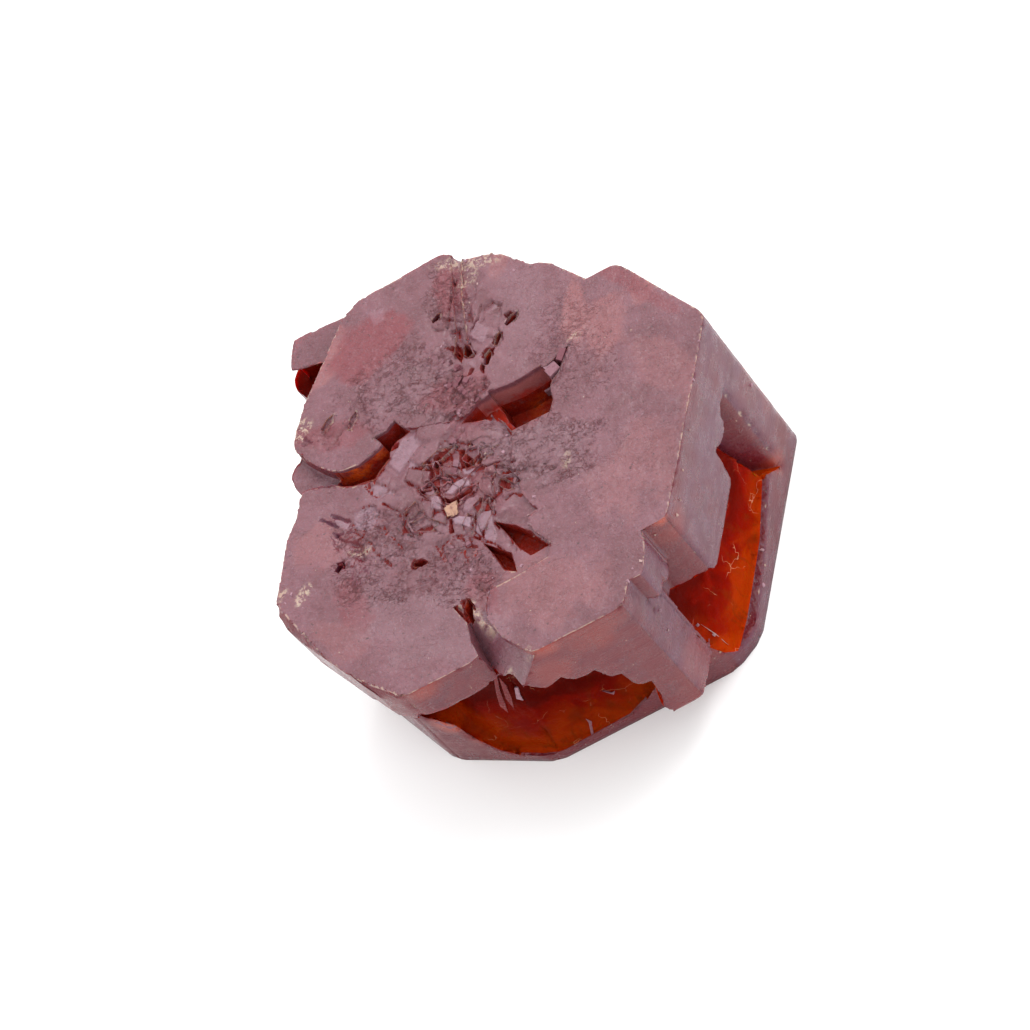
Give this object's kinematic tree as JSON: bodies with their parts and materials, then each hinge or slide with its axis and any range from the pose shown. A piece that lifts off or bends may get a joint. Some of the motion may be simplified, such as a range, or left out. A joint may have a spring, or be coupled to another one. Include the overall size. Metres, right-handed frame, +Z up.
{
  "type": "vanadinite crystal specimen",
  "caption": "Loose thick six-sided vanadinite crystal with a stepped, pitted upper face and hollowed prism faces, resting on its lower basal face.",
  "frame": {"origin": "middle of the bounding box of the whole crystal, at the height of the flat base it rests on", "axes": "+Z up along the crystal's six-fold axis, the shortest extent; -Y is the front prism face with the lower hollow, and +X is towards the corner of the right prism faces"},
  "size_m": [0.0204, 0.02, 0.0104],
  "materials": {
    "vanadinite": "resinous to adamantine, dark red and translucent under a thin mauve frosted skin, glassy red-orange in the hollows, with pale grains in the pits"
  },
  "bodies": {
    "root": {"vanadinite_crystal": "vanadinite"}
  },
  "joints": []
}
